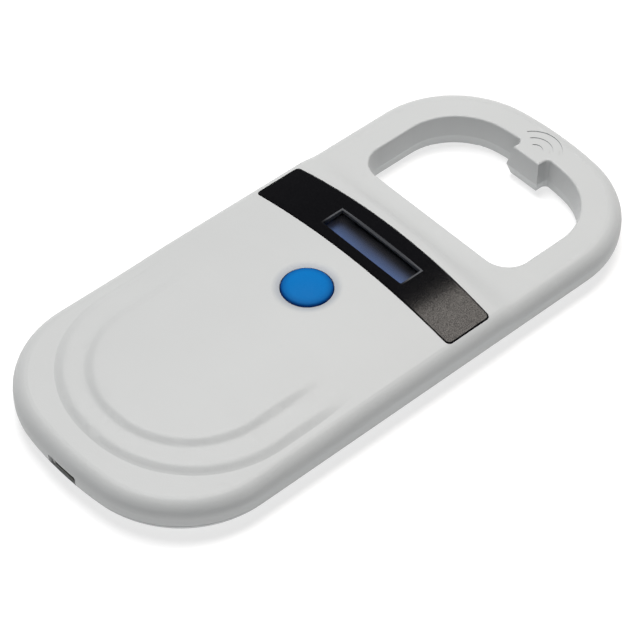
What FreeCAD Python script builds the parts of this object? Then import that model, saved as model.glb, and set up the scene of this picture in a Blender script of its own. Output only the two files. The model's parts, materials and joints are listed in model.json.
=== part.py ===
import FreeCAD
import Part
import math
import os

# Hand-held microchip scanner for pets, lying on its back.
# Millimetres. +Z is up through the display, +Y points to the hand loop, +X is to the right.
# The origin is under the middle of the case, on the surface that it lies on.

Vector = FreeCAD.Vector
up = Vector(0, 0, 1)

# ---- case: overall sizes ----
body_length = 135.0
body_width = 61.0
end_radius = 78.0            # shallow arc across each end
corner_radius = 23.0         # arcs between the ends and the sides
rim_height = 7.7             # top of the hand loop and of the rim round the body
crown_rise = 2.95            # how far the crowned body stands above the rim
crown_overhang = 0.5         # the crown would meet the rim level this far outside the case
top_edge_radius = 3.2
back_edge_radius = 3.6
parting_height = 2.8         # joint between the two shells
wall = 1.8
floor_thickness = 1.6
lower_wall_extra = 0.8       # the bottom shell's side wall is thicker where its edge rounds in
seam_gap = 0.15

# ---- hand loop ----
loop_width = 8.6             # from the outline to the hole
hole_length = 30.5
hole_corner_radius = 5.75
hole_draft = 0.55            # the hole is narrowest at the parting line
hole_edge_radius = 0.4
hole_wall = 1.6
tab_length = 2.9             # small tab on the far edge of the hole
tab_half_width = 3.65
tab_flare_radius = 1.5
tab_draft = 0.8
wave_radii = (1.4, 3.5, 5.5)
wave_stroke = 0.75
wave_depth = 0.18
wave_half_angle = 60.0
wave_centre_inset = 8.9      # from the far end of the case

# ---- slope from the body down to the loop ----
foot_gap = 3.1               # from the hole to the foot of the slope
foot_run = 6.6

# ---- terraces at the socket end ----
terrace_rise = 0.75
terrace_blend = 2.8          # width of each soft step
outer_terrace_margin = 4.9   # from the side of the case
inner_terrace_margin = 11.1
outer_terrace_end = 7.6      # from the socket end of the case
inner_terrace_end = 12.9
terrace_centre = 32.5        # where the straight sides of the terraces end, from the socket end
terrace_power = 2.12         # 2 is an ellipse, more is squarer
terrace_fade = (36.0, 54.0)  # the terraces fade into the crown between these, from the socket end
plateau_rise = 1.35
end_fall = 48.0              # length over which the crown falls to the socket end
end_fall_power = 2.2
terrace_sink = 0.03          # off the terraces their surface lies this far under the crown
terrace_inset = 3.5          # the terraces stay this far in from the outline
terrace_pitch = 0.8          # grid of the stepped surface
crown_pitch = 2.4            # grid of the smooth crown
surface_margin = 3.0         # the grids reach this far past the outline
terrace_roof_gap = 0.3       # from the cavity at the parting line to the foot of the stepped block

# ---- display strip ----
strip_gap = 10.75            # from the hole to the strip
strip_length = 11.65         # along Y
strip_side_margin = 2.2      # from the side of the case
strip_corner_radius = 1.1
strip_far_bow = 0.9          # the long edges bow towards the loop
strip_near_bow = 0.3
strip_depth = 0.95           # pocket in the top shell
strip_proud = 0.1
strip_edge_radius = 0.25
strip_clearance = 0.1
glue_thickness = 0.15
window_width = 23.5
window_height = 6.1
window_bevel = 0.35
window_offset = -0.05        # from the middle of the strip
pane_thickness = 0.8
pane_margin = 1.25           # how far the pane reaches past the window's edge
pane_clearance = 0.1
pane_drop = 0.02

# ---- scan button ----
button_gap = 11.5            # from the strip to the middle of the button
button_diameter = 10.7
button_clearance = 0.1       # running fit in the shell's hole
button_rise = 1.1            # top of the dome above the dish
button_edge_rise = 0.3
button_edge_radius = 0.8
button_stem_diameter = 3.0
button_flange_diameter = 12.7
button_flange_thickness = 0.8
button_flange_gap = 0.3
dish_depth = 0.75
dish_radius = 7.2

# ---- chips and other parts on the board: along X, along Y, height ----
controller_size = (6.6, 6.6, 0.9)
reader_size = (6.0, 3.4, 1.2)
memory_size = (3.4, 4.4, 1.2)
charger_size = (2.9, 2.9, 1.0)
crystal_size = (5.0, 3.2, 1.1)
inductor_size = (4.6, 4.6, 2.4)
tuning_capacitor_size = (1.6, 3.2, 1.2)
small_capacitor_size = (0.8, 1.6, 0.8)
small_resistor_size = (0.8, 1.6, 0.45)
chip_row_x = -10.6           # controller and reader chip
chip_row_gap = 8.8           # from the strip to the controller
chip_stand = 0.1             # body of a chip above the board
chip_edge = 0.15
pin_length = 1.1
pin_height = 0.3
pin_share = 0.45             # of the pitch
buzzer_diameter = 8.4
buzzer_height = 2.4
buzzer_x = -9.5
buzzer_port = 1.8

# ---- board ----
board_thickness = 1.0
board_side_gap = 10.0        # from the side of the case to the board
board_end_gap = 3.0          # from the socket end of the case
board_corner_radius = 2.5
board_beyond_strip = 2.9

# ---- tactile switch under the button ----
switch_size = 6.0
switch_height = 2.0
switch_cover_thickness = 0.2
switch_pocket_diameter = 4.8
switch_pocket_floor = 0.6
switch_leg = (1.2, 0.7, 0.2)
switch_leg_station = 2.2
dome_diameter = 4.4
dome_rise = 0.75
dome_thickness = 0.1
plunger_diameter = 3.4
plunger_fit = 0.08
plunger_flange_diameter = 4.3
plunger_flange_thickness = 0.4
plunger_stand = 0.7          # above the switch cover
plunger_gap = 0.1            # between the button's stem and the plunger
plunger_rest_gap = 0.05      # between the dome and the plunger
plunger_chamfer = 0.2

# ---- screen ----
screen_width = 30.0
screen_depth = 11.5
screen_thickness = 1.45
screen_drop = 0.7            # from the pane to the glass
holder_wall = 1.1
holder_lip = 0.6
flex_width = 6.0
flex_shift = -1.0            # towards the button from the middle of the glass
flex_thickness = 0.15
flex_bend = 0.7
glass_ledge = 2.0            # the rear sheet is longer by this, for the flex

# ---- USB socket ----
usb_width = 7.5
usb_height = 2.45
usb_depth = 5.5
usb_wall = 0.25
usb_chamfer = 0.7
usb_axis_height = 3.15
usb_set_back = 0.9           # mouth behind the end of the case
usb_slot_clearance = 0.25
usb_slot_corner = 0.5
tongue_gap = 0.35            # from the roof of the socket to the tongue
tongue_width = 4.0
tongue_thickness = 0.6
tongue_root = (5.0, 1.0, 1.3)
contact_width = 0.3
contact_length = 2.6
contact_thickness = 0.1
contact_pitch = 0.65
contact_count = 5

# ---- battery ----
battery_length = 35.0
battery_width = 30.0
battery_thickness = 3.4
battery_strip_gap = 20.0     # from the cell to the display strip, for the chips between them
battery_edge_radius = 1.4
tape_thickness = 0.2
guard_board = (20.0, 1.0, 3.0)
lead_diameter = 0.9
lead_bend = 1.2
socket_size = (3.4, 6.0, 3.2)
socket_wall = 0.6
plug_size = (3.0, 4.6, 1.8)

# ---- antenna ----
coil_width = 3.2
coil_height = 3.2
coil_outer_gap = 3.1         # from the outline to the winding
coil_floor_gap = 0.4
coil_hole_gap = 2.6          # from the hole to the winding's straight run
tie_thickness = 0.15
tie_length = 4.0
antenna_lead_diameter = 0.7
antenna_lead_bend = 0.8
coil_corner_radius = 8.0
coil_edge_radius = 0.5
tie_stations = (-9.0, 14.0)  # along the straight run

# ---- screws ----
case_screw_side = 6.3        # from the side of the case
case_screw_stations = (25.5, 80.5)   # from the socket end of the case
case_screw_head = 4.2
case_screw_head_depth = 1.3
case_screw_shank = 2.0
case_screw_length = 5.6
case_screw_recess = 0.3      # head below the back
case_boss_diameter = 5.2
seat_boss_diameter = 6.6
board_screw_head = 3.0
board_screw_head_depth = 0.8
board_screw_shank = 1.6
board_screw_length = 3.6
board_boss_diameter = 4.0
fit_gap = 0.1
boss_sink = 0.3              # bosses run this far into the roof
pilot_spare = 0.3            # pilot hole past the screw's tip

# ---- label on the back ----
label_width = 34.0
label_length = 20.0
label_thickness = 0.12
label_recess = 0.2
label_corner_radius = 2.0

# ---- stations worked out from the sizes above ----
half_width = body_width / 2
half_length = body_length / 2
crown_half_width = half_width + crown_overhang
strip_half_width = half_width - strip_side_margin
socket_end = -half_length
hole_near = half_length - loop_width - hole_length
strip_far = hole_near - strip_gap
strip_near = strip_far - strip_length
strip_middle = (strip_far + strip_near) / 2
button_y = strip_near - button_gap
foot_end = hole_near - foot_gap
board_top = usb_axis_height + 0.65
board_bottom = board_top - board_thickness
board_half_width = half_width - board_side_gap
board_far = strip_far + board_beyond_strip
battery_bottom = board_top + tape_thickness
battery_far = strip_near - battery_strip_gap
battery_near = battery_far - battery_length


# ---------------------------------------------------------------- small helpers

def box(x0, x1, y0, y1, z0, z1):
    return Part.makeBox(x1 - x0, y1 - y0, z1 - z0, Vector(x0, y0, z0))


def block(cx, cy, z0, size_x, size_y, size_z):
    return box(cx - size_x / 2, cx + size_x / 2, cy - size_y / 2, cy + size_y / 2, z0, z0 + size_z)


def cylinder(x, y, z0, z1, diameter):
    return Part.makeCylinder(diameter / 2, z1 - z0, Vector(x, y, z0), up)


bend_share = 1 - math.sqrt(0.5)   # a quarter arc's middle lies this far in from both sides, per radius


def line(a, b):
    return Part.LineSegment(a, b).toShape()


def arc(a, middle, b):
    return Part.Arc(a, middle, b).toShape()


def prism(wire, height):
    return Part.Face(wire).extrude(Vector(0, 0, height))


def fuse(shapes):
    joined = shapes[0]
    for shape in shapes[1:]:
        joined = joined.fuse(shape)
    return joined.removeSplitter()


def rounded_rectangle(x0, x1, y0, y1, z, radius):
    """Closed wire of four sides and four corner arcs."""
    cut = radius * bend_share
    edges = [line(Vector(x0 + radius, y, z), Vector(x1 - radius, y, z)) for y in (y0, y1)]
    edges += [line(Vector(x, y0 + radius, z), Vector(x, y1 - radius, z)) for x in (x0, x1)]
    for x, turn_x in ((x0, 1), (x1, -1)):
        for y, turn_y in ((y0, 1), (y1, -1)):
            middle = Vector(x + turn_x * cut, y + turn_y * cut, z)
            edges.append(arc(Vector(x + turn_x * radius, y, z), middle, Vector(x, y + turn_y * radius, z)))
    return Part.Wire(Part.__sortEdges__(edges))


def smooth_step(value):
    """0 below 0, 1 above 1, with no kink between."""
    t = max(0.0, min(1.0, value))
    return t * t * t * (t * (t * 6 - 15) + 10)


def ball_radius(reach, rise):
    """Radius of the ball whose cap has this half width and height."""
    return (reach ** 2 + rise ** 2) / (2 * rise)


def bent_path(points, bend_radius):
    """Straight runs joined by tangent arcs."""
    edges = []
    start = points[0]
    for before, corner, after in zip(points, points[1:], points[2:]):
        to_before = (before - corner).normalize()
        to_after = (after - corner).normalize()
        half_angle = to_before.getAngle(to_after) / 2
        reach = bend_radius / math.tan(half_angle)
        first = corner + to_before * reach
        last = corner + to_after * reach
        centre = corner + (to_before + to_after).normalize() * (bend_radius / math.sin(half_angle))
        middle = centre + (corner - centre).normalize() * bend_radius
        edges.append(line(start, first))
        edges.append(arc(first, middle, last))
        start = last
    edges.append(line(start, points[-1]))
    return Part.Wire(edges)


def lead(points, bend_radius, diameter):
    """Round wire along a bent path."""
    section = Part.Wire(Part.makeCircle(diameter / 2, points[0], points[1] - points[0]))
    return bent_path(points, bend_radius).makePipeShell([section], True, False)


# ---------------------------------------------------------------- outlines in plan

def end_arcs(inset):
    """Centres and tangent points of the case outline, moved in by inset."""
    corner_x = half_width - corner_radius
    end_y = half_length - end_radius
    corner_y = end_y + math.sqrt((end_radius - corner_radius) ** 2 - corner_x ** 2)
    towards = Vector(corner_x, corner_y - end_y, 0).normalize()
    joint = Vector(0, end_y, 0) + towards * (end_radius - inset)
    halfway = (towards + Vector(1, 0, 0)).normalize()
    middle = Vector(corner_x, corner_y, 0) + halfway * (corner_radius - inset)
    return corner_y, middle, joint


def far_end_edges(inset, z):
    """From the right side round the loop end to the left side."""
    corner_y, middle, joint = end_arcs(inset)
    side = half_width - inset
    top = half_length - inset
    return [
        arc(Vector(side, corner_y, z), Vector(middle.x, middle.y, z), Vector(joint.x, joint.y, z)),
        arc(Vector(joint.x, joint.y, z), Vector(0, top, z), Vector(-joint.x, joint.y, z)),
        arc(Vector(-joint.x, joint.y, z), Vector(-middle.x, middle.y, z), Vector(-side, corner_y, z)),
    ]


def outline(inset, z):
    """The case's outline, moved in by inset."""
    corner_y = end_arcs(inset)[0]
    side = half_width - inset
    far = far_end_edges(inset, z)
    near = [edge.mirror(Vector(0, 0, 0), Vector(0, 1, 0)) for edge in far]
    sides = [line(Vector(s, -corner_y, z), Vector(s, corner_y, z)) for s in (side, -side)]
    return Part.Wire(Part.__sortEdges__(far + near + sides))


def loop_ring(inset, near_y, radius, z):
    """D-shaped outline that follows the far end and closes with a straight run at near_y."""
    corner_y = end_arcs(inset)[0]
    side = half_width - inset
    cut = radius * bend_share
    edges = far_end_edges(inset, z)
    for s in (1, -1):
        on_side = Vector(s * side, near_y + radius, z)
        on_run = Vector(s * (side - radius), near_y, z)
        edges.append(line(Vector(s * side, corner_y, z), on_side))
        edges.append(arc(on_side, Vector(s * (side - cut), near_y + cut, z), on_run))
    edges.append(line(Vector(radius - side, near_y, z), Vector(side - radius, near_y, z)))
    return Part.Wire(Part.__sortEdges__(edges))


def hole_wire(shrink, z):
    return loop_ring(loop_width + shrink, hole_near + shrink, hole_corner_radius - shrink, z)


def tab_wire(grow, z):
    """Small tab that stands into the hole, with flared roots; its base lies inside the rim."""
    half = tab_half_width + grow
    rim_y = half_length - loop_width
    tip = rim_y - tab_length - grow
    shoulder = rim_y - tab_flare_radius
    root = half + tab_flare_radius
    cut = tab_flare_radius * bend_share
    base = rim_y + hole_wall
    edges = [line(Vector(-half, tip, z), Vector(half, tip, z)), line(Vector(root, base, z), Vector(-root, base, z))]
    for s in (1, -1):
        edges.append(line(Vector(s * half, tip, z), Vector(s * half, shoulder, z)))
        bend = Vector(s * (half + cut), rim_y - cut, z)
        edges.append(arc(Vector(s * half, shoulder, z), bend, Vector(s * root, rim_y, z)))
        edges.append(line(Vector(s * root, rim_y, z), Vector(s * root, base, z)))
    return Part.Wire(Part.__sortEdges__(edges))


def drafted(make_wire, growth, low, high):
    """Solid between the same outline at two heights, with the draft worked out per height."""
    return Part.makeLoft([make_wire(growth(low), low), make_wire(growth(high), high)], True, True)


def share_above_parting(z):
    return (rim_height - z) / (rim_height - parting_height)


def share_below_parting(z):
    return z / parting_height


def hand_hole(share, low, high):
    """The hole between two heights, less the tab; share is how much of the draft applies at a height."""
    def hole_growth(z):
        return hole_draft * share(z)

    def tab_growth(z):
        return tab_draft * share(z)

    return drafted(hole_wire, hole_growth, low, high).cut(drafted(tab_wire, tab_growth, low, high))


# ---------------------------------------------------------------- crowned top

def terrace(x, y, margin, end_margin):
    """1 on the terrace, 0 off it, with a soft step between."""
    reach_x = half_width - margin
    centre_y = socket_end + terrace_centre
    reach_y = terrace_centre - end_margin
    if y > centre_y:
        inside = reach_x - abs(x)
    else:
        radius = (abs(x) / reach_x) ** terrace_power + ((centre_y - y) / reach_y) ** terrace_power
        inside = (1 - radius ** (1 / terrace_power)) * (reach_x + reach_y) / 2
    return smooth_step(inside / terrace_blend + 0.5)


def terrace_share(y):
    """1 at the socket end, falling to 0 towards the display."""
    return smooth_step((terrace_fade[1] - (y - socket_end)) / (terrace_fade[1] - terrace_fade[0]))


def crown_height(x, y):
    """Height of the smooth crown over the back, without terraces."""
    from_end = y - socket_end
    bulge = 1 - (x / crown_half_width) ** 2
    if from_end < end_fall:
        bulge *= 1 - ((end_fall - from_end) / end_fall) ** end_fall_power
    rise = crown_rise + terrace_share(y) * (plateau_rise - crown_rise)
    foot = 1 - smooth_step((y - foot_end + foot_run) / foot_run)
    return rim_height + foot * rise * bulge


def terrace_height(x, y):
    """Height with the terraces; off them it lies a hair under the crown, so that the two cross."""
    steps = terrace(x, y, outer_terrace_margin, outer_terrace_end)
    steps += terrace(x, y, inner_terrace_margin, inner_terrace_end)
    return crown_height(x, y) + terrace_share(y) * terrace_rise * steps - terrace_sink


def surface_through(height, x0, x1, y0, y1, pitch):
    """Smooth face through the height at a regular grid of places."""
    count_x = math.ceil((x1 - x0) / pitch)
    count_y = math.ceil((y1 - y0) / pitch)
    rows = []
    for i in range(count_x + 1):
        x = x0 + (x1 - x0) * i / count_x
        rows.append([])
        for j in range(count_y + 1):
            y = y0 + (y1 - y0) * j / count_y
            rows[-1].append(Vector(x, y, height(x, y)))
    surface = Part.BSplineSurface()
    surface.interpolate(rows)
    return surface.toShape()


tall = 30.0                  # more than any height in the case
field_x = half_width + surface_margin
field_y = half_length + surface_margin
terrace_far = socket_end + terrace_fade[1] + surface_margin
crown_top = surface_through(crown_height, -field_x, field_x, -field_y, field_y, crown_pitch)
terrace_top = surface_through(terrace_height, -field_x, field_x, -field_y, terrace_far, terrace_pitch)


def below(face, lift):
    """Everything under the face moved up by lift."""
    return face.translated(Vector(0, 0, lift)).extrude(Vector(0, 0, -tall))


def above(face, lift):
    return face.translated(Vector(0, 0, lift)).extrude(Vector(0, 0, tall))


def terrace_block(lift):
    """The stepped plateau as a block that stands inside the crowned case."""
    floor = parting_height + wall + terrace_roof_gap
    block_plan = prism(outline(terrace_inset, floor + lift), tall)
    return block_plan.common(below(terrace_top, lift))


# ---------------------------------------------------------------- the two shells

def dish():
    """Shallow ball-shaped hollow round the scan button."""
    radius = ball_radius(dish_radius, dish_depth)
    return Part.makeSphere(radius, Vector(0, button_y, crown_height(0, button_y) - dish_depth + radius))


def case_envelope():
    """The closed outside of the case, with the hand hole, before it is parted."""
    case = prism(outline(0, 0), tall).common(below(crown_top, 0)).Solids[0]
    case = case.makeFillet(top_edge_radius, [e for e in case.Edges if e.BoundBox.ZMin > parting_height])
    case = case.makeFillet(back_edge_radius, [e for e in case.Edges if e.BoundBox.ZMax < 0.01])
    case = case.fuse(terrace_block(0)).cut(dish()).Solids[0]
    case = case.cut(hand_hole(share_above_parting, parting_height, rim_height + 2))
    case = case.cut(hand_hole(share_below_parting, 0, parting_height)).Solids[0]

    def is_hole_rim(edge):
        bounds = edge.BoundBox
        flat = bounds.ZLength < 0.05 and (abs(bounds.ZMin - rim_height) < 0.05 or bounds.ZMax < 0.01)
        inside = max(abs(bounds.XMin), abs(bounds.XMax)) < half_width - loop_width + 0.5
        return flat and inside and bounds.YMin > foot_end + 1

    return case.makeFillet(hole_edge_radius, [e for e in case.Edges if is_hole_rim(e)])


def cavity(side_inset, z0):
    """Inner space between a floor at z0 and the underside of the top, clear of the hand hole."""
    space = prism(outline(side_inset, z0), tall).common(below(crown_top, -wall)).fuse(terrace_block(-wall))
    space = space.cut(dish().translated(Vector(0, 0, -wall)))
    core = loop_ring(loop_width - hole_wall, hole_near - hole_wall, hole_corner_radius, z0 - 1)
    return space.cut(prism(core, tall))


def usb_slot():
    reach = usb_width / 2 + usb_slot_clearance
    low = usb_axis_height - usb_height / 2 - usb_slot_clearance
    high = usb_axis_height + usb_height / 2 + usb_slot_clearance
    slot = box(-reach, reach, socket_end - 1, socket_end + wall + lower_wall_extra + 1, low, high)
    along_y = [e for e in slot.Edges if e.BoundBox.YLength > 1]
    return slot.makeFillet(usb_slot_corner, along_y)


def case_screw_places():
    x = half_width - case_screw_side
    return [(s * x, socket_end + station) for station in case_screw_stations for s in (1, -1)]


def board_screw_places():
    far_x = board_half_width - 1.9
    near_x = board_half_width - 3.7
    near_y = battery_near - 2.5
    return [(far_x, board_far - 4.1), (-far_x, board_far - 4.1), (near_x, near_y), (-near_x, near_y)]


def strip_outline(inset, z):
    """Display strip in plan: straight ends, long edges bowed towards the loop, rounded corners."""
    side = strip_half_width - inset
    far = strip_far - inset
    near = strip_near + inset
    r = strip_corner_radius
    cut = r * bend_share
    edges = [
        arc(Vector(r - side, far, z), Vector(0, far + strip_far_bow, z), Vector(side - r, far, z)),
        arc(Vector(r - side, near, z), Vector(0, near + strip_near_bow, z), Vector(side - r, near, z)),
    ]
    for s in (1, -1):
        edges.append(line(Vector(s * side, near + r, z), Vector(s * side, far - r, z)))
        for y, turn in ((near, 1), (far, -1)):
            bend = Vector(s * (side - cut), y + turn * cut, z)
            edges.append(arc(Vector(s * (side - r), y, z), bend, Vector(s * side, y + turn * r, z)))
    return Part.Wire(Part.__sortEdges__(edges))


def window_outline(grow, z, radius):
    """The window's rectangle, grown all round."""
    half_x = window_width / 2 + grow
    half_y = window_height / 2 + grow
    y = strip_middle + window_offset
    return rounded_rectangle(-half_x, half_x, y - half_y, y + half_y, z, radius)


def window_block(grow, z0, z1, radius):
    return prism(window_outline(grow, z0, radius), z1 - z0)


def waves():
    """Three nested arcs cut into the loop's top beside the tab."""
    centre_y = half_length - wave_centre_inset
    bottom = rim_height - wave_depth
    cuts = []
    for radius in wave_radii:
        ring = cylinder(0, centre_y, bottom, rim_height + 1, 2 * radius + wave_stroke)
        if radius > wave_stroke:
            ring = ring.cut(cylinder(0, centre_y, bottom, rim_height + 1, 2 * radius - wave_stroke))
        sweep = 2 * wave_half_angle
        wedge = Part.makeCylinder(radius + 1, 4, Vector(0, centre_y, bottom - 1), up, sweep)
        wedge.rotate(Vector(0, centre_y, 0), up, 90 - wave_half_angle)
        cuts.append(ring.common(wedge))
    return cuts


def make_top_shell(envelope):
    half_space = box(-field_x, field_x, -field_y, field_y, parting_height, tall)
    shell = envelope.common(half_space).cut(cavity(wall, parting_height - 0.5))
    boss_roof = below(crown_top, boss_sink - wall)
    case_posts = [cylinder(x, y, parting_height + fit_gap, tall / 2, case_boss_diameter)
                  for x, y in case_screw_places()]
    board_posts = [cylinder(x, y, board_top, tall / 2, board_boss_diameter) for x, y in board_screw_places()]
    shell = shell.fuse([post.common(boss_roof) for post in case_posts + board_posts])
    cuts = waves() + [usb_slot()]
    cuts.append(prism(strip_outline(0, 0), tall).common(above(crown_top, -strip_depth)))
    cuts.append(window_block(pane_margin + pane_clearance, parting_height, tall, 0.6))
    cuts.append(cylinder(0, button_y, parting_height, tall, button_diameter + 2 * button_clearance))
    pilot_top = case_screw_recess + case_screw_length + pilot_spare
    cuts += [cylinder(x, y, parting_height, pilot_top, case_screw_shank) for x, y in case_screw_places()]
    pilot_top = board_bottom + board_screw_length + pilot_spare
    cuts += [cylinder(x, y, board_top, pilot_top, board_screw_shank) for x, y in board_screw_places()]
    return shell.cut(cuts).Solids[0]


def make_bottom_shell(envelope):
    half_space = box(-field_x, field_x, -field_y, field_y, -1, parting_height)
    shell = envelope.common(half_space).cut(cavity(wall + lower_wall_extra, floor_thickness))
    seats = [cylinder(x, y, floor_thickness / 2, parting_height, seat_boss_diameter)
             for x, y in case_screw_places()]
    shell = shell.fuse(seats)
    groove = prism(outline(-1, parting_height - seam_gap), seam_gap)
    cuts = [groove.cut(prism(outline(2 * seam_gap, parting_height - seam_gap), seam_gap))]
    cuts += [usb_slot(), label_plate(fit_gap, -1, label_recess)]
    for x, y in case_screw_places():
        head_top = case_screw_recess + case_screw_head_depth
        cuts.append(cylinder(x, y, -1, head_top, case_screw_head + 2 * fit_gap))
        cuts.append(cylinder(x, y, -1, tall, case_screw_shank + 4 * fit_gap))
    return shell.cut(cuts).Solids[0]


def label_plate(grow, z0, z1):
    half_x = label_width / 2 + grow
    half_y = label_length / 2 + grow
    y = (battery_near + battery_far) / 2
    return prism(rounded_rectangle(-half_x, half_x, y - half_y, y + half_y, z0, label_corner_radius + grow), z1 - z0)


# ---------------------------------------------------------------- display strip, pane, screen

def make_display_bezel():
    strip = prism(strip_outline(strip_clearance, 0), tall)
    strip = strip.common(below(crown_top, strip_proud)).common(above(crown_top, glue_thickness - strip_depth))
    strip = strip.Solids[0]

    def is_upper(edge):
        point = edge.valueAt((edge.FirstParameter + edge.LastParameter) / 2)
        on_top = abs(point.z - crown_height(point.x, point.y) - strip_proud) < 0.1
        return on_top and edge.tangentAt(edge.FirstParameter).z ** 2 < 0.5

    strip = strip.makeChamfer(strip_edge_radius, [e for e in strip.Edges if is_upper(e)])
    low_z = crown_height(0, strip_middle) - window_bevel
    funnel_height = window_bevel + 2
    low = window_outline(-window_bevel, low_z, 0.3)
    high = window_outline(funnel_height - window_bevel, low_z + funnel_height, 0.3)
    funnel = Part.makeLoft([low, high], True, True)
    return strip.cut([funnel, window_block(-window_bevel, parting_height, tall, 0.3)]).Solids[0]


def pane_level():
    """Top of the flat pane, under the glue layer where the crown is lowest over it."""
    return crown_height(window_width / 2 + pane_margin, strip_near) - strip_depth - pane_drop


def make_bezel_glue():
    glue = prism(strip_outline(2 * strip_clearance, 0), tall)
    glue = glue.common(below(crown_top, glue_thickness - strip_depth)).common(above(crown_top, -strip_depth))
    return glue.cut(window_block(pane_margin + pane_clearance, parting_height, tall, 0.6)).Solids[0]


def make_display_pane():
    level = pane_level()
    pane = window_block(pane_margin, level - pane_thickness, level, 0.5)
    return pane.makeChamfer(0.1, [e for e in pane.Edges if e.BoundBox.ZLength < 0.01])


def screen_top():
    return pane_level() - pane_thickness - screen_drop


def screen_y():
    return strip_middle + window_offset


def make_screen_glass():
    """Two bonded glass sheets, the rear one longer by the ledge that the flex is bonded to."""
    top = screen_top()
    sheet = screen_thickness / 2
    rear = block(0, screen_y(), top - screen_thickness, screen_width, screen_depth, sheet)
    front = box(-screen_width / 2 + glass_ledge, screen_width / 2, screen_y() - screen_depth / 2,
                screen_y() + screen_depth / 2, top - sheet, top)
    return rear.fuse(front).removeSplitter()


def make_screen_holder():
    """Open moulded frame that stands on the board and holds the glass between low walls."""
    top = screen_top() - screen_thickness
    gap = fit_gap
    size_x = screen_width + 2 * (gap + holder_wall)
    size_y = screen_depth + 2 * (gap + holder_wall)
    frame = block(0, screen_y(), board_top, size_x, size_y, top + holder_lip - board_top)
    pocket = block(0, screen_y(), top, screen_width + 2 * gap, screen_depth + 2 * gap, 2)
    core = block(0, screen_y(), board_top - 1, screen_width - 2 * holder_wall, screen_depth - 2 * holder_wall, 20)
    flex_middle = screen_y() + flex_shift
    flex_way = box(-size_x, -screen_width / 2 + 3, flex_middle - flex_width / 2 - 0.5,
                   flex_middle + flex_width / 2 + 0.5, top - 0.9, tall)
    return frame.cut([pocket, core, flex_way])


def make_screen_flex():
    """Thin flexible strip from the glass ledge, over and down to the board."""
    start_z = screen_top() - screen_thickness - flex_thickness / 2
    foot_z = board_top + flex_thickness / 2
    out_x = -screen_width / 2 - holder_wall - 1.1
    y = screen_y() + flex_shift
    points = [Vector(-screen_width / 2 + 1.5, y, start_z), Vector(out_x, y, start_z),
              Vector(out_x, y, foot_z), Vector(out_x - 2.2, y, foot_z)]
    x = points[0].x
    half = flex_width / 2
    t = flex_thickness / 2
    corners = [Vector(x, y - half, start_z - t), Vector(x, y + half, start_z - t),
               Vector(x, y + half, start_z + t), Vector(x, y - half, start_z + t)]
    section = Part.makePolygon(corners + corners[:1])
    return bent_path(points, flex_bend).makePipeShell([section], True, False)


# ---------------------------------------------------------------- button and switch

switch_top = board_top + switch_height + switch_cover_thickness
plunger_top = switch_top + plunger_stand


def make_scan_button():
    """Domed cap with a flange under the shell and a short stem over the switch."""
    radius = button_diameter / 2
    rim = dish_level()
    flange_top = rim - wall - button_flange_gap
    flange_bottom = flange_top - button_flange_thickness
    rise = button_rise - button_edge_rise
    dome_radius = ball_radius(radius, rise)
    ball = Part.makeSphere(dome_radius, Vector(0, button_y, rim + button_rise - dome_radius))
    cap = cylinder(0, button_y, flange_top - 0.1, tall / 2, button_diameter).common(ball)
    cap = cap.makeFillet(button_edge_radius, [e for e in cap.Edges if e.BoundBox.ZMin > rim and e.Length > radius])
    flange = cylinder(0, button_y, flange_bottom, flange_top, button_flange_diameter)
    stem = cylinder(0, button_y, plunger_top + plunger_gap, flange_bottom, button_stem_diameter)
    return fuse([cap, flange, stem])


def dish_level():
    """Height of the dish where it meets the button."""
    radius = ball_radius(dish_radius, dish_depth)
    reach = button_diameter / 2 + button_clearance
    return crown_height(0, button_y) - dish_depth + radius - math.sqrt(radius ** 2 - reach ** 2)


def make_switch_housing():
    body = block(0, button_y, board_top, switch_size, switch_size, switch_height)
    pocket = cylinder(0, button_y, board_top + switch_pocket_floor, tall, switch_pocket_diameter)
    leg_x = (switch_size + switch_leg[0]) / 2
    legs = [block(side * leg_x, button_y + shift, board_top, *switch_leg)
            for side in (1, -1) for shift in (switch_leg_station, -switch_leg_station)]
    return fuse([body.cut(pocket)] + legs)


def make_switch_cover():
    cover = block(0, button_y, board_top + switch_height, switch_size, switch_size, switch_cover_thickness)
    return cover.cut(cylinder(0, button_y, board_top, tall, plunger_diameter + 2 * plunger_fit))


def make_switch_dome():
    """Snap dome: a thin cap of a ball, rim down in the pocket."""
    base = board_top + switch_pocket_floor
    radius = ball_radius(dome_diameter / 2, dome_rise)
    centre = Vector(0, button_y, base + dome_rise - radius)
    shell = Part.makeSphere(radius, centre).cut(Part.makeSphere(radius - dome_thickness, centre))
    return shell.common(cylinder(0, button_y, base, base + 5, switch_pocket_diameter)).Solids[0]


def make_switch_plunger():
    dome_top = board_top + switch_pocket_floor + dome_rise
    flange_bottom = dome_top + plunger_rest_gap
    flange = cylinder(0, button_y, flange_bottom, flange_bottom + plunger_flange_thickness, plunger_flange_diameter)
    shaft = cylinder(0, button_y, flange_bottom, plunger_top, plunger_diameter)
    plunger = fuse([flange, shaft])
    return plunger.makeChamfer(plunger_chamfer, [e for e in plunger.Edges if e.BoundBox.ZMin > plunger_top - 0.01])


# ---------------------------------------------------------------- board and what is on it

def make_main_board():
    board = prism(outline(board_end_gap, board_bottom), board_thickness)
    slab = prism(rounded_rectangle(-board_half_width, board_half_width, socket_end, board_far, board_bottom,
                                   board_corner_radius), board_thickness)
    board = board.common(slab)
    notch_x = usb_width / 2 + fit_gap
    notch_y = socket_end + usb_set_back + usb_depth + fit_gap
    cuts = [box(-notch_x, notch_x, socket_end, notch_y, 0, tall)]
    cuts += [cylinder(x, y, 0, tall, board_screw_shank + 2 * fit_gap) for x, y in board_screw_places()]
    return board.cut(cuts).Solids[0]


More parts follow.
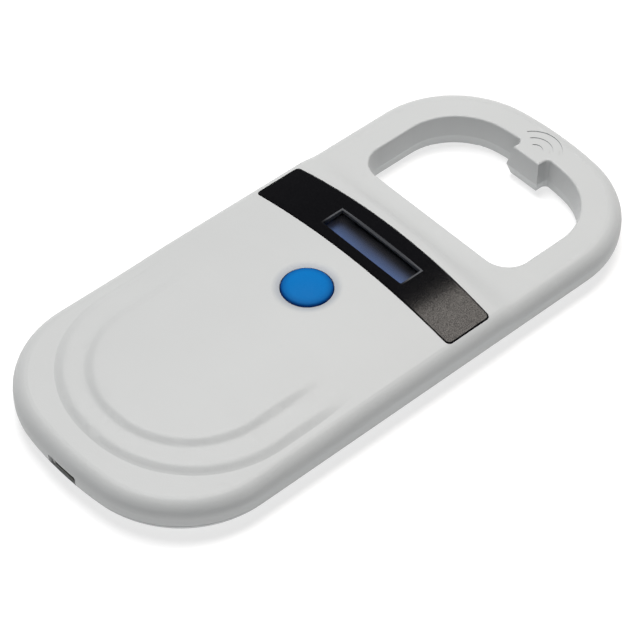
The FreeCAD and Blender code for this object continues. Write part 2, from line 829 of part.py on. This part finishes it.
def chip(cx, cy, size, pins, pin_side):
    """Moulded chip with flat legs along two opposite sides."""
    size_x, size_y, size_z = size
    body = block(cx, cy, board_top + chip_stand, size_x, size_y, size_z)
    body = body.makeChamfer(chip_edge, [e for e in body.Edges if e.BoundBox.ZMin > board_top + size_z])
    pitch = (size_y if pin_side == "x" else size_x) / pins
    pin_width = pitch * pin_share
    pieces = [body]
    for side in (1, -1):
        for n in range(pins):
            shift = (n - (pins - 1) / 2) * pitch
            if pin_side == "x":
                pin_x = cx + side * (size_x + pin_length / 2) / 2
                pieces.append(block(pin_x, cy + shift, board_top, pin_length, pin_width, pin_height))
            else:
                pin_y = cy + side * (size_y + pin_length / 2) / 2
                pieces.append(block(cx + shift, pin_y, board_top, pin_width, pin_length, pin_height))
    return fuse(pieces)


def make_microcontroller():
    return chip(chip_row_x, strip_near - chip_row_gap, controller_size, 8, "x")


def make_reader_chip():
    spacing = (controller_size[1] + reader_size[1]) / 2 + 1.9
    return chip(chip_row_x, strip_near - chip_row_gap - spacing, reader_size, 8, "y")


def make_memory_chip():
    return chip(6.9, button_y + 5.2, memory_size, 4, "x")


def make_charger_chip():
    return chip(8.4, battery_near - 4.0, charger_size, 3, "x")


def upright_rounded(body, radius):
    """The block with its four upright edges rounded."""
    return body.makeFillet(radius, [e for e in body.Edges if e.BoundBox.ZLength > 1])


def make_crystal():
    return upright_rounded(block(-11.0, strip_near - 3.6, board_top, *crystal_size), 0.5)


def make_power_inductor():
    return upright_rounded(block(3.2 - board_half_width, button_y - 1.4, board_top, *inductor_size), 0.9)


def passives(places, size):
    """Small two-ended parts, one solid each."""
    return Part.makeCompound([block(x, y, board_top, *size) for x, y in places])


def make_tuning_capacitors():
    x = board_half_width - 2.2
    return passives([(x, strip_near - 2.5 + 4.0 * n) for n in range(3)], tuning_capacitor_size)


def make_small_capacitors():
    left = [(1.5 - board_half_width, strip_near - 6.4 + 2.2 * n) for n in range(3)]
    middle = [(-5.2, button_y + 1.0 + 2.4 * n) for n in range(3)]
    return passives(left + middle, small_capacitor_size)


def make_small_resistors():
    right = [(4.8 + 1.6 * n, strip_near - 2.6) for n in range(4)]
    near = [(6.0 + 1.7 * n, battery_near - 7.6) for n in range(4)]
    return passives(right + near, small_resistor_size)


def make_buzzer():
    y = battery_near - 5.8
    case = cylinder(buzzer_x, y, board_top, board_top + buzzer_height, buzzer_diameter)
    case = case.makeFillet(0.4, [e for e in case.Edges if e.BoundBox.ZMin > board_top + 1])
    return case.cut(cylinder(buzzer_x, y, board_top + buzzer_height / 2, tall, buzzer_port))


def usb_profile(inset, y):
    """D-like mouth of a small USB socket: flat top, lower corners cut away."""
    half = usb_width / 2 - inset
    top = usb_axis_height + usb_height / 2 - inset
    low = usb_axis_height - usb_height / 2 + inset
    cut = usb_chamfer
    corners = [(-half, top), (half, top), (half, low + cut), (half - cut, low), (cut - half, low), (-half, low + cut)]
    points = [Vector(x, y, z) for x, z in corners]
    return Part.Face(Part.makePolygon(points + points[:1]))


def make_usb_shell():
    mouth = socket_end + usb_set_back
    outside = usb_profile(0, mouth).extrude(Vector(0, usb_depth, 0))
    inside = usb_profile(usb_wall, mouth - 1).extrude(Vector(0, usb_depth + 1 - usb_wall, 0))
    return outside.cut(inside)


def tongue_back():
    return socket_end + usb_set_back + usb_depth - usb_wall


def tongue_top():
    return usb_axis_height + usb_height / 2 - usb_wall - tongue_gap


def make_usb_tongue():
    root_length, root_height = tongue_root[1:]
    root = block(0, tongue_back() - root_length / 2, tongue_top() - root_height, *tongue_root)
    blade = block(0, tongue_back() - tongue_width / 2, tongue_top() - tongue_thickness,
                  tongue_width, tongue_width, tongue_thickness)
    return fuse([root, blade])


def make_usb_contacts():
    y = tongue_back() - contact_length
    z = tongue_top() - tongue_thickness - contact_thickness
    shifts = [contact_pitch * (n - (contact_count - 1) / 2) for n in range(contact_count)]
    return Part.makeCompound([block(x, y, z, contact_width, contact_length, contact_thickness) for x in shifts])


# ---------------------------------------------------------------- battery

def make_battery_cell():
    cell = box(-battery_width / 2, battery_width / 2, battery_near, battery_far,
               battery_bottom, battery_bottom + battery_thickness)
    return cell.makeFillet(battery_edge_radius, [e for e in cell.Edges if abs(e.BoundBox.YLength - battery_length) < 1])


def make_battery_tape():
    margin = battery_edge_radius + 1.0
    return box(margin - battery_width / 2, battery_width / 2 - margin, battery_near + 2, battery_far - 2,
               board_top, battery_bottom)


def make_battery_guard():
    width, thickness, depth = guard_board
    return block(0, battery_far + 0.2 + thickness / 2, battery_bottom, width, thickness, depth)


socket_x = board_half_width - 3.6
socket_y = button_y + 4.0


def make_battery_socket():
    length, width, height = socket_size
    body = block(socket_x, socket_y, board_top, length, width, height)
    mouth = block(socket_x - 1.0, socket_y, board_top + socket_wall, length, width - 2 * socket_wall,
                  height - 2 * socket_wall)
    return body.cut(mouth)


def make_battery_plug():
    return block(socket_x - 1.35, socket_y, board_top + socket_wall + fit_gap, *plug_size)


def battery_lead(side):
    """Lead from the cell's protection board to the plug; side is 1 or -1 of the pair."""
    z_cell = battery_bottom + 1.4
    z_plug = board_top + 1.6
    start = Vector(7.0 - side * 0.8, battery_far + 0.2 + guard_board[1], z_cell)
    end = Vector(socket_x - 2.85, socket_y + side * 1.0, z_plug)
    drop = Vector(start.x, start.y + 2.2, z_cell)
    run = Vector(end.x - 2.6 - side * 0.8, end.y, z_plug)
    return lead([start, drop, run, end], lead_bend, lead_diameter)


# ---------------------------------------------------------------- antenna

coil_bottom = floor_thickness + coil_floor_gap
coil_near = hole_near - coil_hole_gap - coil_width


def coil_ring(grow, z0, z1):
    outer = loop_ring(coil_outer_gap - grow, coil_near - grow, coil_corner_radius, z0)
    inner = loop_ring(coil_outer_gap + coil_width + grow, coil_near + coil_width + grow,
                      coil_corner_radius - coil_width, z0)
    return prism(outer, z1 - z0).cut(prism(inner, z1 - z0))


def make_antenna_coil():
    coil = coil_ring(0, coil_bottom, coil_bottom + coil_height)
    return coil.makeFillet(coil_edge_radius, [e for e in coil.Edges if e.BoundBox.ZLength < 0.01])


def make_coil_ties():
    """Thin bands of tape that hold the winding together."""
    band = coil_ring(tie_thickness, coil_bottom - tie_thickness, coil_bottom + coil_height + tie_thickness)
    band = band.cut(coil_ring(0, coil_bottom, coil_bottom + coil_height))
    side_x = half_width - coil_outer_gap - coil_width / 2
    side_y = hole_near + hole_length / 3
    run_y = coil_near + coil_width / 2
    across = 2 * coil_width
    bands = [band.common(block(x, side_y, 0, across, tie_length, tall)) for x in (side_x, -side_x)]
    bands += [band.common(block(x, run_y, 0, tie_length, across, tall)) for x in tie_stations]
    return Part.makeCompound([solid for one in bands for solid in one.Solids])


def antenna_lead(x):
    """Enamelled tail of the winding, down to a pad at the board's edge."""
    start = Vector(x, coil_near, coil_bottom + coil_height - 0.8)
    over = Vector(x, coil_near - 1.2, start.z)
    pad = Vector(x, board_far - 0.4, board_top + antenna_lead_diameter / 2)
    end = Vector(x, board_far - 1.5, pad.z)
    return lead([start, over, pad, end], antenna_lead_bend, antenna_lead_diameter)


# ---------------------------------------------------------------- screws and label

def screw(x, y, z, head, head_depth, shank, length):
    """Pan-headed screw, head down, with a cross recess."""
    top = z + head_depth
    body = fuse([cylinder(x, y, z, top, head), cylinder(x, y, top, z + length, shank)])
    body = body.makeChamfer(min(0.3, head_depth / 3), [e for e in body.Edges if e.BoundBox.ZMax < z + 0.01])
    slot = head * 0.55
    recess = block(x, y, z, slot, slot / 5, head_depth / 2).fuse(block(x, y, z, slot / 5, slot, head_depth / 2))
    return body.cut(recess)


def make_case_screws():
    return Part.makeCompound([
        screw(x, y, case_screw_recess, case_screw_head, case_screw_head_depth, case_screw_shank, case_screw_length)
        for x, y in case_screw_places()])


def make_board_screws():
    return Part.makeCompound([
        screw(x, y, board_bottom - board_screw_head_depth, board_screw_head, board_screw_head_depth,
              board_screw_shank, board_screw_length + board_screw_head_depth)
        for x, y in board_screw_places()])


def make_rear_label():
    return label_plate(0, label_recess - label_thickness, label_recess)


# ---------------------------------------------------------------- build

def build_all():
    envelope = case_envelope()
    return {
        "top_shell": make_top_shell(envelope),
        "bottom_shell": make_bottom_shell(envelope),
        "display_bezel": make_display_bezel(),
        "bezel_glue": make_bezel_glue(),
        "display_pane": make_display_pane(),
        "screen_glass": make_screen_glass(),
        "screen_holder": make_screen_holder(),
        "screen_flex": make_screen_flex(),
        "scan_button": make_scan_button(),
        "switch_housing": make_switch_housing(),
        "switch_cover": make_switch_cover(),
        "switch_dome": make_switch_dome(),
        "switch_plunger": make_switch_plunger(),
        "main_board": make_main_board(),
        "microcontroller": make_microcontroller(),
        "reader_chip": make_reader_chip(),
        "memory_chip": make_memory_chip(),
        "charger_chip": make_charger_chip(),
        "crystal": make_crystal(),
        "tuning_capacitors": make_tuning_capacitors(),
        "small_capacitors": make_small_capacitors(),
        "small_resistors": make_small_resistors(),
        "power_inductor": make_power_inductor(),
        "buzzer": make_buzzer(),
        "usb_shell": make_usb_shell(),
        "usb_tongue": make_usb_tongue(),
        "usb_contacts": make_usb_contacts(),
        "battery_cell": make_battery_cell(),
        "battery_tape": make_battery_tape(),
        "battery_guard_board": make_battery_guard(),
        "battery_socket": make_battery_socket(),
        "battery_plug": make_battery_plug(),
        "battery_lead_positive": battery_lead(1),
        "battery_lead_negative": battery_lead(-1),
        "antenna_coil": make_antenna_coil(),
        "coil_ties": make_coil_ties(),
        "antenna_lead_start": antenna_lead(6.0),
        "antenna_lead_end": antenna_lead(8.4),
        "case_screws": make_case_screws(),
        "board_screws": make_board_screws(),
        "rear_label": make_rear_label(),
    }


os.makedirs("parts", exist_ok=True)
for name, shape in build_all().items():
    shape.exportStep("parts/" + name + ".step")
    print(name, len(shape.Solids), round(shape.Volume, 2), shape.isValid())
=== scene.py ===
import json

import bmesh
import bpy
from mathutils import Matrix, Vector


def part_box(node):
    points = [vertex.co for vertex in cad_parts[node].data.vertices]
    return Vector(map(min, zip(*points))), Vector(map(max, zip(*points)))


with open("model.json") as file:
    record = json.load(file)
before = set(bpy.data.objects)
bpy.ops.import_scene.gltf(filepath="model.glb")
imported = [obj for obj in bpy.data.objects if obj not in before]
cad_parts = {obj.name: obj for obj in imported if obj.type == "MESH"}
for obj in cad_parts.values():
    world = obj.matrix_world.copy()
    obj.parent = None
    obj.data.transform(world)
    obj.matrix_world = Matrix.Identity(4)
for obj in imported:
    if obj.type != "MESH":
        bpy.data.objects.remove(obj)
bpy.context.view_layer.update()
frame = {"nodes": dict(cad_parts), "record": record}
nodes = frame["nodes"]
scene = bpy.context.scene
print("frame loaded with", len(nodes), "nodes")


cameraView = {
    "place": (0.2648, -0.2511, 0.3861),
    "right": (0.6717, 0.7407, 0.0150),
    "up": (-0.5463, 0.4815, 0.6853),
    "lens": 151.4,   # mm
    "sensor": 36,
    "nearest": 0.01,
}


def makeCamera():
    right = Vector(cameraView["right"]).normalized()
    forward = Vector(cameraView["up"]).cross(right).normalized()
    up = right.cross(forward)
    turn = Matrix((right, up, -forward)).transposed().to_4x4()
    camera = bpy.data.objects.new("camera", bpy.data.cameras.new("camera"))
    scene.collection.objects.link(camera)
    camera.data.lens = cameraView["lens"]
    camera.data.sensor_width = cameraView["sensor"]
    camera.data.clip_start = cameraView["nearest"]
    camera.matrix_world = Matrix.Translation(cameraView["place"]) @ turn
    scene.camera = camera


lamps = {
    "overhead": {"place": (-0.28, 0.12, 0.86), "size": 0.5, "watts": 6.9, "colour": (1.0, 1.0, 1.0)},
    "stripGlow": {"place": (-0.155, 0.5, 0.9), "size": 0.30, "watts": 2.9, "colour": (1.0, 0.93, 0.86)},
}

room = {"colour": (1, 1, 1, 1), "glow": 0.3}      # pale light from all round


def makeLamps():
    for name, lamp in lamps.items():
        light = bpy.data.lights.new(name, "AREA")
        light.shape = "DISK"
        light.size = lamp["size"]
        light.energy = lamp["watts"]
        light.color = lamp["colour"]
        holder = bpy.data.objects.new(name, light)
        scene.collection.objects.link(holder)
        holder.location = lamp["place"]
        holder.rotation_mode = "QUATERNION"
        holder.rotation_quaternion = Vector(lamp["place"]).to_track_quat("Z", "Y")
    world = bpy.data.worlds.new("studio")
    world.use_nodes = True
    background = world.node_tree.nodes["Background"]
    background.inputs["Color"].default_value = room["colour"]
    background.inputs["Strength"].default_value = room["glow"]
    scene.world = world
    scene.view_settings.view_transform = "Standard"


makeCamera()
makeLamps()
print("camera and light made")


class Value:
    def __init__(self, finish, socket):
        self.finish = finish
        self.socket = socket

    def combine(self, operation, first, second):
        return self.finish.node("ShaderNodeMath", {"operation": operation}, {0: first, 1: second})

    def __add__(self, other):
        return self.combine("ADD", self, other)

    def __radd__(self, other):
        return self.combine("ADD", other, self)

    def __sub__(self, other):
        return self.combine("SUBTRACT", self, other)

    def __rsub__(self, other):
        return self.combine("SUBTRACT", other, self)

    def __mul__(self, other):
        return self.combine("MULTIPLY", self, other)

    def __rmul__(self, other):
        return self.combine("MULTIPLY", other, self)

    def size(self):
        return self.combine("ABSOLUTE", self, 0.0)

    def root(self):
        return self.combine("SQRT", self, 0.0)

    def larger(self, other):
        return self.combine("MAXIMUM", self, other)


class Finish:
    def __init__(self, name, **constants):
        self.material = bpy.data.materials.new(name)
        self.material.use_nodes = True
        self.tree = self.material.node_tree
        self.shader = self.tree.nodes["Principled BSDF"]
        for label, value in constants.items():
            self.shader.inputs[label.replace("_", " ")].default_value = value
        self.place = self.node("ShaderNodeTexCoord", output="Object")   # metres, in the object's frame

    def node(self, kind, settings=None, values=None, output=0):
        made = self.tree.nodes.new(kind)
        for label, value in (settings or {}).items():
            setattr(made, label, value)
        for label, value in (values or {}).items():
            self.feed(made.inputs[label], value)
        return Value(self, made.outputs[output])

    def feed(self, socket, value):
        if isinstance(value, Value):
            self.tree.links.new(value.socket, socket)
        else:
            socket.default_value = value

    def axis(self, letter):
        return self.node("ShaderNodeSeparateXYZ", None, {0: self.place}, output=letter)

    def noise(self, scale, detail=3.0, roughness=0.55):
        return self.node("ShaderNodeTexNoise", None,
                         {"Vector": self.place, "Scale": scale, "Detail": detail, "Roughness": roughness})

    def band(self, value, low, high, start=0.0, end=1.0):
        limits = {"From Min": low, "From Max": high, "To Min": start, "To Max": end}
        return self.node("ShaderNodeMapRange", {"interpolation_type": "SMOOTHSTEP"},
                         {"Value": value, **limits})

    def blend(self, share, first, second):
        return self.node("ShaderNodeMix", {"data_type": "RGBA"},
                         {0: share, 6: first, 7: second}, output=2)

    def bump(self, height, distance):
        return self.node("ShaderNodeBump", None,
                         {"Height": height, "Distance": distance, "Strength": 1.0})

    def set(self, label, value):
        self.feed(self.shader.inputs[label], value)


def opaque(colour):
    return (*colour, 1.0)


# each row: colour, paler colour, roughness, grains a metre, grain height in metres
plastics = {
    "holder_black": ((0.012, 0.012, 0.013), (0.02, 0.02, 0.02), 0.5, 5000, 0.00001),
    "switch_black": ((0.012, 0.012, 0.013), (0.02, 0.02, 0.02), 0.45, 5000, 0.00001),
    "chip_black": ((0.012, 0.012, 0.013), (0.025, 0.025, 0.025), 0.55, 8000, 0.00001),
    "resistor_black": ((0.015, 0.015, 0.016), (0.03, 0.03, 0.03), 0.4, 5000, 0.00001),
    "ferrite_grey": ((0.05, 0.05, 0.052), (0.08, 0.08, 0.08), 0.6, 5000, 0.00001),
    "ceramic_tan": ((0.36, 0.24, 0.13), (0.42, 0.3, 0.17), 0.45, 5000, 0.00001),
    "board_green": ((0.01, 0.11, 0.035), (0.015, 0.14, 0.045), 0.35, 2500, 0.00001),
    "flex_amber": ((0.42, 0.18, 0.03), (0.5, 0.22, 0.04), 0.3, 2500, 0.000005),
    "tape_amber": ((0.5, 0.25, 0.05), (0.55, 0.3, 0.07), 0.35, 2500, 0.00001),
    "tape_white": ((0.6, 0.6, 0.58), (0.66, 0.66, 0.64), 0.6, 3000, 0.00001),
    "lead_red": ((0.45, 0.01, 0.01), (0.5, 0.02, 0.015), 0.4, 3000, 0.00001),
    "lead_black": ((0.01, 0.01, 0.01), (0.02, 0.02, 0.02), 0.4, 3000, 0.00001),
    "connector_ivory": ((0.55, 0.5, 0.38), (0.6, 0.55, 0.43), 0.45, 4000, 0.00001),
    "glue_grey": ((0.2, 0.2, 0.2), (0.25, 0.25, 0.25), 0.7, 3000, 0.00001),
    "label_silver": ((0.42, 0.43, 0.44), (0.47, 0.48, 0.49), 0.4, 6000, 0.000004),
}

metals = {
    "tinned_steel": ((0.50, 0.50, 0.48), (0.58, 0.58, 0.56), 0.32, 900, 0.000004),
    "spring_steel": ((0.45, 0.45, 0.44), (0.52, 0.52, 0.5), 0.28, 900, 0.000004),
    "contact_gold": ((0.75, 0.48, 0.14), (0.8, 0.55, 0.2), 0.28, 900, 0.000004),
    "cell_foil": ((0.5, 0.5, 0.5), (0.57, 0.57, 0.57), 0.4, 400, 0.00003),
    "coil_copper": ((0.62, 0.24, 0.09), (0.7, 0.3, 0.12), 0.3, 900, 0.000004),
    "screw_steel": ((0.42, 0.42, 0.41), (0.5, 0.5, 0.49), 0.3, 1200, 0.000005),
}

plain = {
    "clouds": 90.0,         # soft patches a metre
    "roughnessFall": 0.04,
    "roughnessRise": 0.05,
}
middle = (0.3, 0.7)         # the part of a noise that most of a surface shows
finishes = {}


def makePlain(name, recipe, metallic):
    deep, pale, roughness, grains, height = recipe
    finish = Finish(name, Metallic=metallic)
    cloud = finish.noise(plain["clouds"])
    least = roughness - plain["roughnessFall"]
    most = roughness + plain["roughnessRise"]
    grain = finish.noise(grains, 2.0)
    finish.set("Base Color", finish.blend(cloud, opaque(deep), opaque(pale)))
    finish.set("Roughness", finish.band(cloud, *middle, least, most))
    finish.set("Normal", finish.bump(grain, height))
    finishes[name] = finish.material


for name, recipe in plastics.items():
    makePlain(name, recipe, 0.0)
for name, recipe in metals.items():
    makePlain(name, recipe, 1.0)
print("plain finishes made:", len(finishes))


paneLow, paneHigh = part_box("display_pane")
windowCentre = (paneLow + paneHigh) / 2
strip = {
    "windowHalf": (0.01175, 0.00305),
    "paintedBevelHighlight": 0.00035,           # width of the paler band round the window's bevel, a painted highlight
    "paintedBevelHighlightFade": 0.0001,
    "paintedBevelHighlightColour": (0.075, 0.078, 0.085),
    "paintedBevelHighlightRoughness": 0.3,
    "deep": (0.0015, 0.0015, 0.0022),
    "pale": (0.003, 0.003, 0.004),
    "roughness": (0.05, 0.09),
    "clouds": 60.0,
    "speckles": 5200,
    "speckleShare": (0.35, 0.68),
    "speckleHeight": 0.0000025,
    "gloss": (0.10, 0.30),      # coat weight between the speckles and on them
}


def makeStripFinish():
    finish = Finish("strip_black", Coat_Roughness=0.11, Specular_IOR_Level=0.02)
    y = finish.axis("Y")
    alongX = (finish.axis("X") - windowCentre.x).size() - strip["windowHalf"][0]
    alongY = (y - windowCentre.y).size() - strip["windowHalf"][1]
    outside = alongX.larger(alongY)
    fade = strip["paintedBevelHighlightFade"]
    # painted highlight: a paler, rougher band along the window's bevel
    paintedBevelHighlight = finish.band(outside, -strip["paintedBevelHighlight"] - fade, -strip["paintedBevelHighlight"])
    paintedBevelHighlight = paintedBevelHighlight * finish.band(outside, fade, 0.0)
    nearEdge = windowCentre.y - strip["windowHalf"][1] - 2 * fade
    paintedBevelHighlight = paintedBevelHighlight * finish.band(y, nearEdge, windowCentre.y)   # the painted highlight is left off the near side, which lies in shade
    cloud = finish.noise(strip["clouds"])
    speckle = finish.band(finish.noise(strip["speckles"], 1.0), *strip["speckleShare"])
    black = finish.blend(cloud, opaque(strip["deep"]), opaque(strip["pale"]))
    roughness = finish.band(cloud, *middle, *strip["roughness"])
    # the black strip, with the painted highlight blended in along the bevel
    finish.set("Base Color", finish.blend(paintedBevelHighlight, black, opaque(strip["paintedBevelHighlightColour"])))
    finish.set("Roughness", roughness + paintedBevelHighlight * strip["paintedBevelHighlightRoughness"])
    finish.set("Coat Weight", finish.band(speckle, 0.0, 1.0, *strip["gloss"]))
    finish.set("Normal", finish.bump(speckle, strip["speckleHeight"]))
    finishes["strip_black"] = finish.material


screen = {
    "far": (0.006, 0.007, 0.012),
    "near": (0.075, 0.16, 0.42),      # the blue side, painted as lit
    "across": (0.0030, -0.0016),      # from the window's middle, from the painted shade of the far side to the lit near side
    "rows": 1800,                     # fine lines a metre
    "rowDepth": 0.12,
    "roughness": 0.3,
    "grains": 2500.0,
    "grainHeight": 0.000001,
}


def makeScreenFinish():
    finish = Finish("screen_dark", Roughness=screen["roughness"])
    # painted shade: the screen darkens towards its far side, and is painted lit and blue on the near side
    across = finish.band(finish.axis("Y") - windowCentre.y, *screen["across"])
    rows = finish.node("ShaderNodeTexWave", {"wave_type": "BANDS", "bands_direction": "Y"},
                       {"Vector": finish.place, "Scale": screen["rows"], "Distortion": 0.0})
    paintedLightTint = finish.blend(across, opaque(screen["far"]), opaque(screen["near"]))
    finish.set("Base Color", finish.blend(rows * screen["rowDepth"], paintedLightTint, opaque(screen["far"])))
    finish.set("Normal", finish.bump(finish.noise(screen["grains"]), screen["grainHeight"]))
    finishes["screen_dark"] = finish.material


pane = {
    "smears": 160.0,
    "deep": (0.02, 0.02, 0.025),
    "pale": (0.06, 0.06, 0.07),
    "roughness": (0.03, 0.10),
    "alphaShare": (0.2, 0.8),
    "alpha": (0.14, 0.22),
}


def makePaneFinish():
    finish = Finish("pane_clear", IOR=1.5)
    smear = finish.noise(pane["smears"])
    finish.set("Base Color", finish.blend(smear, opaque(pane["deep"]), opaque(pane["pale"])))
    finish.set("Roughness", finish.band(smear, *middle, *pane["roughness"]))
    finish.set("Alpha", finish.band(smear, *pane["alphaShare"], *pane["alpha"]))
    finishes["pane_clear"] = finish.material


shell = {
    "deep": (0.470, 0.480, 0.482),
    "pale": (0.500, 0.511, 0.513),
    "clouds": 45.0,
    "grains": 2600,         # moulded texture, grains a metre
    "grainHeight": 0.000012,
    "roughness": (0.41, 0.52),
    "scuffs": 340,
    "scuffShare": (0.62, 0.78),
    "scuffDepth": 0.06,
    "scuffRoughness": 0.1,
    "scuffColour": (0.30, 0.30, 0.29),
    "dish": (0.0074, 0.0053),     # round the button, a painted shade in its dish
    "dishDepth": 0.8,
    "dishColour": (0.29, 0.315, 0.355),
}
buttonLow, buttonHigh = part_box("scan_button")
buttonCentre = (buttonLow + buttonHigh) / 2


def makeShellFinish():
    finish = Finish("shell_white", Specular_IOR_Level=0.3)
    cloud = finish.noise(shell["clouds"])
    grain = finish.noise(shell["grains"], 2.0)
    scuff = finish.band(finish.noise(shell["scuffs"], 6.0, 0.7), *shell["scuffShare"])
    fromX = finish.axis("X") - buttonCentre.x
    fromY = finish.axis("Y") - buttonCentre.y
    # painted shade in the dish round the button
    dish = finish.band((fromX * fromX + fromY * fromY).root(), *shell["dish"])
    colour = finish.blend(cloud, opaque(shell["deep"]), opaque(shell["pale"]))
    colour = finish.blend(dish * shell["dishDepth"], colour, opaque(shell["dishColour"]))
    colour = finish.blend(scuff * shell["scuffDepth"], colour, opaque(shell["scuffColour"]))
    roughness = finish.band(grain, *middle, *shell["roughness"])
    finish.set("Base Color", colour)
    finish.set("Roughness", roughness + scuff * shell["scuffRoughness"])
    finish.set("Normal", finish.bump(grain, shell["grainHeight"]))
    finishes["shell_white"] = finish.material


button = {
    "top": (0.0005, 0.148, 0.440),
    "rim": (0.0008, 0.028, 0.150),
    "rimStarts": 0.0003,       # below the crown of the cap, painted shade starts to deepen the colour
    "rimHeight": 0.00105,      # and is deepest here
    "grains": 3200,
    "grainDepth": 0.15,
    "grainHeight": 0.000008,
    "roughness": (0.50, 0.62),
}


def makeButtonFinish():
    finish = Finish("button_blue", Specular_IOR_Level=0.05)
    grain = finish.noise(button["grains"], 2.0)
    # painted shade: the cap's side turns navy below its crown, darkest lowest down
    cap = finish.band(finish.axis("Z"), buttonHigh.z - button["rimHeight"],
                      buttonHigh.z - button["rimStarts"])
    colour = finish.blend(cap, opaque(button["rim"]), opaque(button["top"]))
    finish.set("Base Color", finish.blend(grain * button["grainDepth"], colour, opaque(button["rim"])))
    finish.set("Roughness", finish.band(grain, *middle, *button["roughness"]))
    finish.set("Normal", finish.bump(grain, button["grainHeight"]))
    finishes["button_blue"] = finish.material


makeStripFinish()
makeScreenFinish()
makePaneFinish()
makeShellFinish()
makeButtonFinish()
print("finishes made:", len(finishes))


# every node takes the finish of its slot
for row in frame["record"]["subparts"]:
    for place in nodes[row["node"]].material_slots:
        place.material = finishes[row["material_slot"]]
print("node finishes set")


floorPlan = {
    "reach": 4.0,
    "drop": 0.0002,      # under the object's own lowest face
    "glow": ((0.62, 0.62, 0.62), (0.85, 0.85, 0.85)),      # under the object, and far from it
    "glowReach": (0.3, 1.3),
    "clouds": 3.0,
    "colours": ((0.44, 0.44, 0.44), (0.46, 0.46, 0.46)),
}

backdropPlan = {
    "reach": 2.6,
    "height": 1.1,
    "sides": 96,
    "glow": 0.95,
    "clouds": 0.5,
    "colours": ((1.0, 1.0, 1.0), (0.98, 0.98, 0.98)),
}


def makeStage(name, mesh, finish):
    staged = bpy.data.meshes.new(name)
    mesh.to_mesh(staged)
    mesh.free()
    piece = bpy.data.objects.new(name, staged)
    scene.collection.objects.link(piece)
    piece.data.materials.append(finish.material)
    return piece


def makeFloor():
    finish = Finish("floor_white", Roughness=0.9, Emission_Strength=1.0)
    reach = (finish.axis("X") * finish.axis("X") + finish.axis("Y") * finish.axis("Y")).root()
    glowNear, glowFar = [opaque(colour) for colour in floorPlan["glow"]]
    baseDeep, basePale = [opaque(colour) for colour in floorPlan["colours"]]
    far = finish.band(reach, *floorPlan["glowReach"])
    finish.set("Emission Color", finish.blend(far, glowNear, glowFar))
    finish.set("Base Color", finish.blend(finish.noise(floorPlan["clouds"]), baseDeep, basePale))
    mesh = bmesh.new()
    bmesh.ops.create_grid(mesh, x_segments=1, y_segments=1, size=floorPlan["reach"])
    bmesh.ops.translate(mesh, verts=mesh.verts, vec=(0, 0, -floorPlan["drop"]))
    makeStage("floor", mesh, finish)


def makeBackdrop():
    finish = Finish("backdrop_white", Roughness=0.9, Emission_Strength=backdropPlan["glow"])
    bright, dim = [opaque(colour) for colour in backdropPlan["colours"]]
    finish.set("Emission Color", finish.blend(finish.noise(backdropPlan["clouds"]), bright, dim))
    mesh = bmesh.new()
    bmesh.ops.create_circle(mesh, radius=backdropPlan["reach"], segments=backdropPlan["sides"])
    raised = bmesh.ops.extrude_edge_only(mesh, edges=mesh.edges)["geom"]
    top = [corner for corner in raised if isinstance(corner, bmesh.types.BMVert)]
    bmesh.ops.translate(mesh, verts=top, vec=(0, 0, backdropPlan["height"]))
    backdrop = makeStage("backdrop", mesh, finish)
    backdrop.visible_diffuse = False      # it fills the horizon, and lights nothing
    backdrop.visible_glossy = False


makeFloor()
makeBackdrop()
print("floor and backdrop made")
